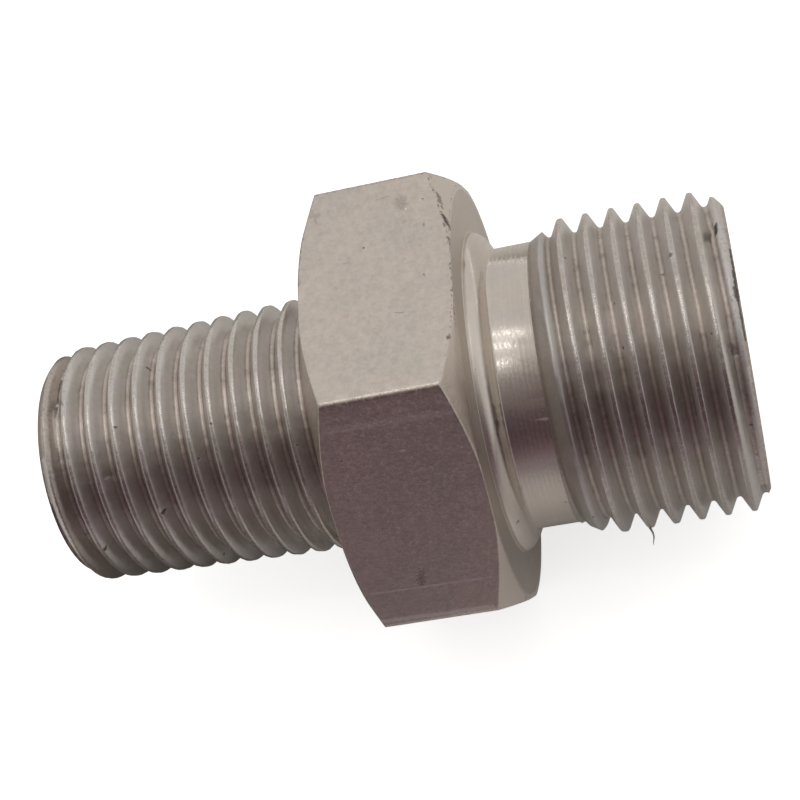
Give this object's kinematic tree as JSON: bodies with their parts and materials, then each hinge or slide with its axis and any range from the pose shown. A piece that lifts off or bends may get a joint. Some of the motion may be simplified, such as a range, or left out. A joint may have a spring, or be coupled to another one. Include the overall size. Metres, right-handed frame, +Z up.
{
  "type": "threaded adapter",
  "caption": "Straight hydraulic adapter turned from hexagon bar, with a short parallel male pipe thread at one end and a longer tapered male pipe thread at the other.",
  "frame": {"origin": "centre of the bounding box's bottom, on the surface that the hexagon's lower flat rests on", "axes": "+X along the bore towards the parallel thread's end, +Z up, away from the surface"},
  "size_m": [0.0366, 0.0254, 0.022],
  "materials": {
    "plated_steel": "satin zinc plating over turned steel, handled and lightly worn"
  },
  "bodies": {
    "root": {"adapter_body": "plated_steel"}
  },
  "joints": []
}
